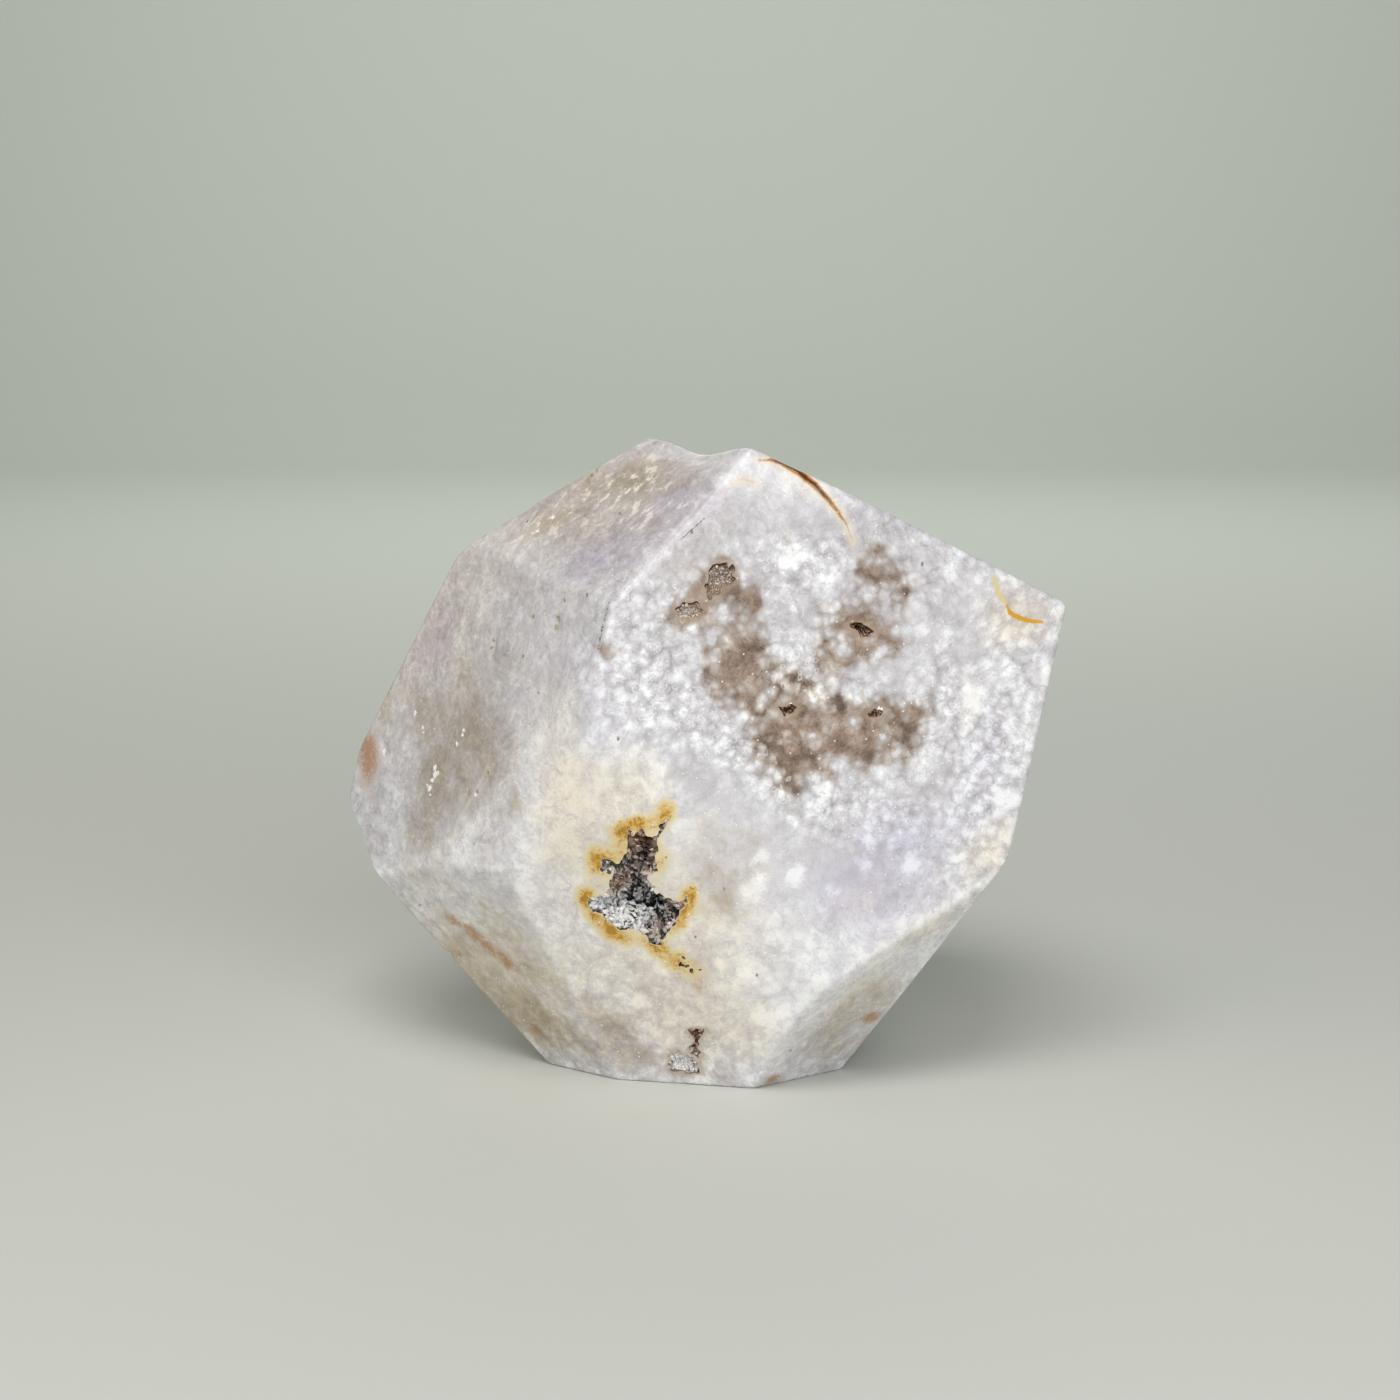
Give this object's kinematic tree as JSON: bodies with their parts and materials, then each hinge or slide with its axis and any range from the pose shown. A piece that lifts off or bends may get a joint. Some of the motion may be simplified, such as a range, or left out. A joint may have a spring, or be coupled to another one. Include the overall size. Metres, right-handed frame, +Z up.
{
  "type": "flower agate freeform",
  "caption": "Fist-sized freeform of polished flower agate, ground into flat facets with rounded edges, with open crystal-lined hollows and a flat ground foot.",
  "frame": {"origin": "on the resting surface, under the middle of the stone's box", "axes": "+Z up from the foot, +X along the longest side, to the right seen from the front, -Y towards the front"},
  "size_m": [0.079, 0.062, 0.0705],
  "materials": {
    "polished_agate": "polished translucent chalcedony, pale lilac grey to warm cream, with white plumes",
    "quartz_crust": "glittering crust of small quartz crystals, grey and white with some iron stain"
  },
  "bodies": {
    "root": {"stone": "polished_agate", "main_druse": "quartz_crust", "low_druse": "quartz_crust", "foot_druse": "quartz_crust", "upper_left_druse": "quartz_crust", "upper_right_druse": "quartz_crust", "middle_druse": "quartz_crust", "right_druse": "quartz_crust", "back_druse": "quartz_crust"}
  },
  "joints": []
}
